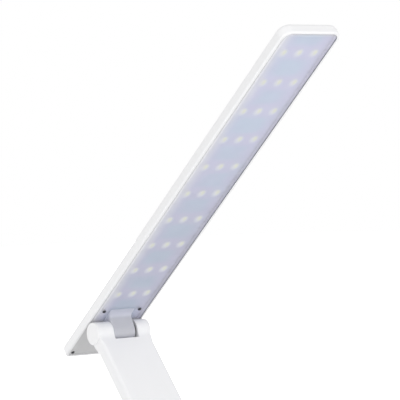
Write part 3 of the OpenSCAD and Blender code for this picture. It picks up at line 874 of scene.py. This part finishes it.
class LAMP_OT_tail(bpy.types.Operator):
    """Builds the grey tail plate with the knuckle of the upper hinge"""

    bl_idname = "lamp.tail"
    bl_label = "Tail plate and knuckle"

    def execute(self, context):
        head = context.scene.lamp_head
        hinge = context.scene.lamp_hinge
        place = on_head()
        panel_low, panel_high = cad_box("light_panel", place)
        low, high = cad_box("tail_cover", place)
        gap = 0.08 * MM
        side = panel_reach()[0] - gap
        tail = cad_box("head_housing", place)[0].y + head.rim + gap
        corner = head.tail_corner - head.rim - gap
        profile = eased_side(0, panel_low.z, panel_high.z, 0.15 * MM)
        radii = [corner] * 2 + [0.3 * MM] * 2
        form = Form().tray((-side, tail), (side, head.split - 0.05 * MM), radii, profile)
        pad_low = (-head.pad_side, -head.pad_reach, low.z)
        pad_high = (head.pad_side, 0.5 * MM, panel_low.z + 0.1 * MM)
        plate = form.block(pad_low, pad_high, 0.2 * MM).piece("tail_plate")
        dress(plate, place, "head", "grey", ["tail_cover"])
        rings = knuckle_rings(hinge, -panel_high.z, hinge.root, high.y - hinge.foot)
        root_low = (-hinge.left, panel_low.y - 0.5 * MM, panel_low.z)
        root_high = (hinge.right, high.y, panel_high.z)
        form = Form().loft(rings).block(root_low, root_high, 0.05 * MM)
        dress(form.piece("head_knuckle"), place, "head", "knuckle")
        return {"FINISHED"}


def arm_skin(hinge, back, width):
    """Closed skin of the arm: a soft slab that swells into a barrel at each end."""
    barrel = hinge.barrel
    back_blend = 0.3 * MM
    edge_fade = 5 * MM

    def half_height(distance, face, blend):
        """Height of the skin above the axis, that far from the nearer hinge along the arm."""
        reach = math.sqrt((barrel + blend) ** 2 - (face + blend) ** 2)
        meet = reach * barrel / (barrel + blend)
        if distance > reach:
            return face
        if distance > meet:
            return face + blend - math.sqrt(blend ** 2 - (reach - distance) ** 2)
        return math.sqrt(max(barrel ** 2 - distance ** 2, 0))

    nose = [-barrel * math.cos(math.radians(a)) for a in (0.6, *range(6, 90, 7))]
    hollow = [9.5 * MM * i / 22 for i in range(23)]
    ends = nose + hollow + [12 * MM]
    places = ends + [ARM_LENGTH - y for y in reversed(ends)]
    rings = []
    for y in places:
        distance = y if y < ARM_LENGTH / 2 else ARM_LENGTH - y
        top = half_height(distance, hinge.arm_front, hinge.blend)
        bottom = -half_height(distance, back, back_blend)
        share = min(max((distance - barrel) / edge_fade, 0), 1)
        growth = (hinge.arm_soft - hinge.barrel_edge) * share * share * (3 - 2 * share)
        soft = min(hinge.barrel_edge + growth, (top - bottom) * 0.49)
        outline = round_rect((-width, bottom), (width, top), [soft] * 4, 8)
        rings.append([(x, y, z) for x, z in outline])
    return Form().loft(rings)


class LAMP_OT_arm(bpy.types.Operator):
    """Builds the arm, its back cover and the cover's screws"""

    bl_idname = "lamp.arm"
    bl_label = "Arm"

    def execute(self, context):
        hinge = context.scene.lamp_hinge
        low, high = cad_box("arm_cover", ON_ARM)
        width = high.x
        beyond = 30 * MM
        shell = arm_skin(hinge, -low.z, width).piece("arm_shell")
        cover = arm_skin(hinge, -low.z, width).piece("arm_back")

        gap = 0.1 * MM
        for piece, slack, edge, operation in (
            (shell, gap, 0.3 * MM, "DIFFERENCE"),
            (cover, 0, 0.001 * MM, "INTERSECT"),
        ):
            bay_high = (beyond, high.y + slack, -hinge.seam)
            bay = Form().block((-beyond, low.y - slack, -beyond), bay_high, edge)
            combine(piece, bay, operation)
        end_wall = 1.4 * MM
        side, near, far = width - hinge.arm_wall, low.y + end_wall, high.y - end_wall
        for piece, bottom, top in (
            (shell, -3 * MM, hinge.arm_front - hinge.front_skin),
            (cover, low.z + hinge.cover_skin, 0),
        ):
            combine(piece, Form().block((-side, near, bottom), (side, far, top), 0.5 * MM))
        deep = hinge.slot_depth
        left, right = -hinge.slot_left, hinge.slot_right
        for near, far in ((ARM_LENGTH - deep, ARM_LENGTH + beyond), (-beyond, deep)):
            slot = Form().block((left, near, -beyond), (right, far, beyond), 0.05 * MM)
            combine(shell, slot)

        radius = hinge.screw
        level = low.z + hinge.screw_sink
        first, last = cad_box("arm_screws", ON_ARM)
        spots = [(x, y) for x in (first.x + radius, last.x - radius)
                 for y in (first.y + radius, last.y - radius)]
        for spot in spots:
            recess = [(radius + gap, low.z - 1 * MM), (radius + gap, level)]
            combine(cover, Form().lathe(recess, spot))
        for piece, node in ((shell, "arm_frame"), (cover, "arm_cover")):
            dress(piece, ON_ARM, "arm", "white", [node], 0.2 * MM, 40)
        sizes = (radius, 0.6 * MM, 0.9 * MM, 5 * MM)
        screws("arm_screw_heads", "arm_screws", ON_ARM, "arm", "steel", spots, level,
               sizes, flip=True)
        return {"FINISHED"}


class LAMP_OT_caps(bpy.types.Operator):
    """Builds the round end caps of both hinge barrels"""

    bl_idname = "lamp.caps"
    bl_label = "Hinge caps"

    def execute(self, context):
        hinge = context.scene.lamp_hinge
        radius = hinge.barrel
        seat = cad_box("arm_cover", ON_ARM)[1].x
        inside = seat - 1.4 * MM
        edge = 0.35 * MM
        crown = 0.02 * MM
        sides = [Matrix.Identity(4), Matrix.Rotation(math.pi, 4, "Z")]
        for name, node, place in (
            ("upper_cap_discs", "upper_caps", AT_UPPER),
            ("lower_cap_discs", "lower_caps", ON_ARM),
        ):
            outer = cad_box(node, place)[1].x
            profile = [(0, inside), (hinge.plug, inside), (hinge.plug, seat)]
            profile += [(radius - 0.12 * MM, seat), (radius, seat + 0.1 * MM)]
            profile += arc(radius - edge, outer - edge - crown, edge, 0, 90, 5)
            profile += [(radius * 0.55, outer - crown / 2), (0, outer)]
            piece = Form().roll(profile).spread(sides).piece(name)
            dress(piece, place, "arm", "white", [node])
        return {"FINISHED"}


class LAMP_OT_base(bpy.types.Operator):
    """Builds the white shell of the base and its non-slip pad"""

    bl_idname = "lamp.base"
    bl_label = "Base"

    def execute(self, context):
        base = context.scene.lamp_base
        hinge = context.scene.lamp_hinge
        low, high = cad_box("base_shell", ON_BASE)
        wall, soft, foot = base.wall, base.soft, 0.4 * MM
        profile = [(wall, high.z - wall), (wall, low.z + foot)]
        profile += arc(wall - foot, low.z + foot, foot, 0, -90, 3)
        profile += arc(foot, low.z + foot, foot, 270, 180, 3)
        profile += arc(soft, high.z - soft, soft, 180, 90, 10)
        shell = Form().tray(low, high, [base.corner] * 4, profile, 14).piece("base_cover")

        gap = 0.1 * MM
        through = 10 * MM
        below, above = high.z - through, high.z + through
        half = hinge.foot + gap
        opening_low = (-hinge.left - gap, LOWER_HINGE.y - half, below)
        opening_high = (hinge.right + gap, LOWER_HINGE.y + half, above)
        combine(shell, Form().block(opening_low, opening_high))

        first, last = cad_box("power_button", ON_BASE)
        bore = [(base.button + gap, below), (base.button + gap, above)]
        combine(shell, Form().lathe(bore, (0, (first.y + last.y) / 2), 64))

        first, last = cad_box("power_inlet", ON_BASE)
        port = round_rect((first.x - gap, first.z - gap), (last.x + gap, last.z + gap),
                          [(last.z - first.z) / 2] * 4)
        ends = high.y - through, high.y + through
        combine(shell, Form().loft([[(x, y, z) for x, z in port] for y in ends]))
        dress(shell, ON_BASE, "base", "white", ["base_shell"], 0.25 * MM, 40)

        low, high = cad_box("grip_pad", ON_BASE)
        edge = 0.3 * MM
        profile = [(1.2 * MM, low.z), *arc(edge, low.z + edge, edge, 270, 180, 3), (0, high.z)]
        pad = Form().tray(low, high, [base.pad_corner] * 4, profile, 12).piece("base_pad")
        dress(pad, ON_BASE, "base", "rubber", ["grip_pad"])
        return {"FINISHED"}


class LAMP_OT_post(bpy.types.Operator):
    """Builds the grey post of the lower hinge"""

    bl_idname = "lamp.post"
    bl_label = "Hinge post"

    def execute(self, context):
        hinge = context.scene.lamp_hinge
        low, high = cad_box("hinge_post", AT_LOWER)
        drop = LOWER_HINGE.z - cad_box("base_shell", ON_BASE)[1].z
        foot = hinge.foot
        form = Form().loft(knuckle_rings(hinge, drop, 0.5 * MM, 0))
        edge = 0.4 * MM
        form.block((-hinge.left, -foot, low.z), (hinge.right, foot, -drop + 0.1 * MM), edge)
        form.block(low, (high.x, high.y, low.z + 3 * MM), edge)
        dress(form.piece("post"), AT_LOWER, "base", "grey", ["hinge_post"])
        return {"FINISHED"}


class LAMP_OT_button(bpy.types.Operator):
    """Builds the dished power button"""

    bl_idname = "lamp.button"
    bl_label = "Power button"

    def execute(self, context):
        base = context.scene.lamp_base
        low, high = cad_box("power_button", ON_BASE)
        shell_top = cad_box("base_shell", ON_BASE)[1].z
        centre = (0, (low.y + high.y) / 2)
        radius = base.button
        edge = 0.5 * MM
        stem = 2 * MM
        flange = shell_top - base.wall - 0.02 * MM
        flange_low = flange - 1.2 * MM
        profile = [(0, low.z), (stem, low.z), (stem, flange_low)]
        profile += [(high.x, flange_low), (high.x, flange), (radius, flange)]
        profile += arc(radius - edge, high.z - edge, edge, 0, 100, 7)
        for share in (0.8, 0.6, 0.4, 0.2, 0):
            profile.append((radius * share, high.z - base.dish * (1 - share * share)))
        piece = Form().lathe(profile, centre, 64).piece("button_cap")
        dress(piece, ON_BASE, "button", "button", ["power_button"])
        return {"FINISHED"}


class LAMP_OT_finish_parts(bpy.types.Operator):
    """Gives the packed parts that stay in view their finishes"""

    bl_idname = "lamp.finish_parts"
    bl_label = "Finish packed parts"

    def execute(self, context):
        wanted = {
            "white": ["base_tray"],
            "board": ["led_board"],
            "aluminium": ["heat_sheet"],
            "steel": ["arm_stiffener", "upper_pin", "lower_pin", "post_screws", "card_screws",
                      "base_screws", "power_inlet"],
            "ballast": ["ballast"],
            "friction": ["upper_washer", "lower_washer"],
            "card": ["control_card", "inlet_card"],
            "black": ["push_switch"],
            "white_lead": ["head_lead"],
            "black_lead": ["arm_lead", "base_lead"],
        }
        for name, nodes in wanted.items():
            for node in nodes:
                data = frame["nodes"][node].data
                data.materials.clear()
                data.materials.append(material(name))
        return {"FINISHED"}


class LAMP_OT_stage(bpy.types.Operator):
    """Builds the pale floor, the lamps and the sky"""

    bl_idname = "lamp.stage"
    bl_label = "Stage"

    def execute(self, context):
        stage = context.scene.lamp_stage
        reach = stage.floor_reach
        outline = round_rect((-reach, -reach), (reach, reach), [1.0] * 4)
        floor = Form().prism(outline, -20 * MM, 0).piece("floor")
        black, dim, white = (0, 0, 0, 1), (0.3, 0.3, 0.3, 1), (1, 1, 1, 1)
        paint, nodes = finish("stage_floor")
        inputs = {0: nodes.point()}
        distance = nodes.node("ShaderNodeVectorMath", {"operation": "LENGTH"}, inputs, output=1)
        pale = nodes.mix(nodes.ramp(distance, stage.floor_near, stage.floor_far), dim, white)
        close(paint, nodes, {
            "Base Color": shade(stage.floor),
            "Roughness": 0.7,
            "Emission Color": nodes.mix(nodes.seen(), black, pale),
            "Emission Strength": 1.0,
        })
        floor.data.materials.append(paint)
        for name, spot, width, power in LAMPS:
            data = bpy.data.lights.new(name, "AREA")
            data.shape = "DISK"
            data.size = width
            data.energy = power
            turn = (LAMPS_AIM - Vector(spot)).to_track_quat("-Z", "Y").to_matrix().to_4x4()
            add_object(name, data, Matrix.Translation(spot) @ turn)
        world = context.scene.world or bpy.data.worlds.new("sky")
        context.scene.world = world
        world.use_nodes = True
        nodes = Nodes(world.node_tree)
        seen = nodes.seen()
        strength = seen + (1 - seen) * stage.sky
        sky = nodes.node("ShaderNodeBackground", None, {"Color": white, "Strength": strength})
        nodes.node("ShaderNodeOutputWorld", None, {"Surface": sky})
        context.scene.view_settings.view_transform = "Standard"
        return {"FINISHED"}


OPERATORS = (
    LAMP_OT_camera, LAMP_OT_housing, LAMP_OT_lights, LAMP_OT_panel, LAMP_OT_head_screws,
    LAMP_OT_tail, LAMP_OT_arm, LAMP_OT_caps, LAMP_OT_base, LAMP_OT_post, LAMP_OT_button,
    LAMP_OT_finish_parts, LAMP_OT_stage,
)


class LAMP_PT_build(bpy.types.Panel):
    """Sidebar panel that lists the pieces"""

    bl_label = "Desk lamp"
    bl_idname = "LAMP_PT_build"
    bl_space_type = "VIEW_3D"
    bl_region_type = "UI"
    bl_category = "Desk lamp"

    def draw(self, context):
        for operator in OPERATORS:
            self.layout.operator(operator.bl_idname)
        for name, group in GROUPS.items():
            box = self.layout.box()
            box.label(text=group.__doc__)
            for key in group.__annotations__:
                box.prop(getattr(context.scene, name), key)


def register():
    for name, group in GROUPS.items():
        bpy.utils.register_class(group)
        setattr(bpy.types.Scene, name, PointerProperty(type=group))
    for part in (*OPERATORS, LAMP_PT_build):
        bpy.utils.register_class(part)


def unregister():
    for part in (LAMP_PT_build, *reversed(OPERATORS)):
        bpy.utils.unregister_class(part)
    for name, group in reversed(GROUPS.items()):
        delattr(bpy.types.Scene, name)
        bpy.utils.unregister_class(group)


def main():
    """Registers the add-on and builds every piece in order."""
    register()
    for operator in OPERATORS:
        family, name = operator.bl_idname.split(".")
        getattr(getattr(bpy.ops, family), name)()


if __name__ == "__main__":
    main()
